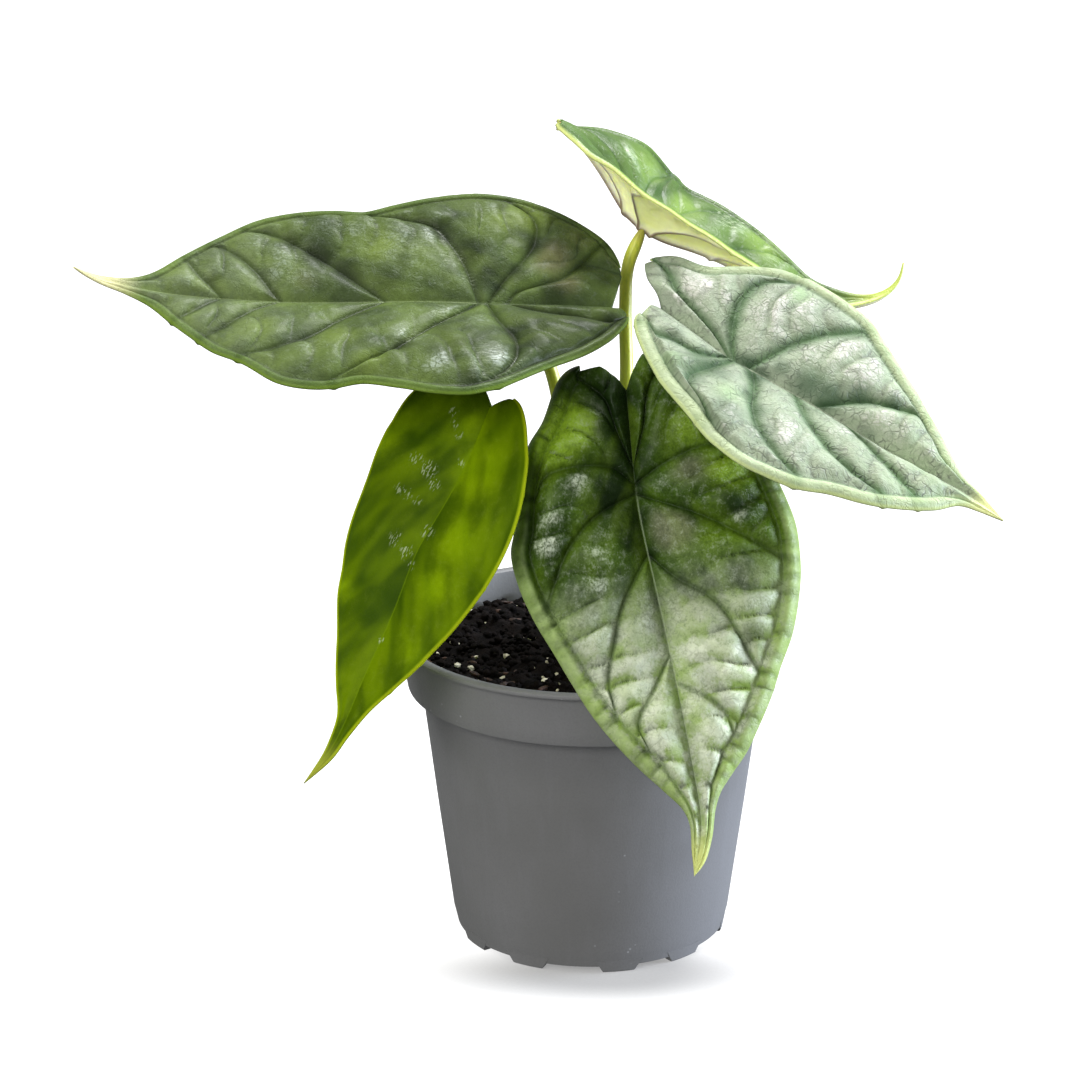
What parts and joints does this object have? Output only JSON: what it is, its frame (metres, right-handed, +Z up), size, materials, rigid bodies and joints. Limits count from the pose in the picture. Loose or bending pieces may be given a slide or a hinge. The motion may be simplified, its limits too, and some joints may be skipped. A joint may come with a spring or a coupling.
{
  "type": "potted alocasia",
  "caption": "Young dragon scale alocasia with quilted, heart-shaped drip-tip leaves in a round grey plastic nursery pot.",
  "frame": {"origin": "centre of the pot's underside, on the surface it stands on", "axes": "+Z up along the pot's axis, -Y towards the front leaf, +X to the right as seen from the front"},
  "size_m": [0.2653, 0.1527, 0.2428],
  "materials": {
    "pot_plastic": "matte",
    "soil_mix": "matte",
    "stem_skin": "satin",
    "petiole_skin": "satin",
    "blade_left": "satin",
    "blade_right": "satin",
    "blade_top": "satin",
    "blade_young": "satin",
    "blade_front": "satin"
  },
  "bodies": {
    "root": {"pot": "pot_plastic", "soil": "soil_mix", "stem_base": "stem_skin", "petiole_left": "petiole_skin", "petiole_right": "petiole_skin", "petiole_top": "petiole_skin", "petiole_young": "petiole_skin", "petiole_front": "petiole_skin", "leaf_left": "blade_left", "leaf_right": "blade_right", "leaf_top": "blade_top", "leaf_young": "blade_young", "leaf_front": "blade_front"}
  },
  "joints": []
}
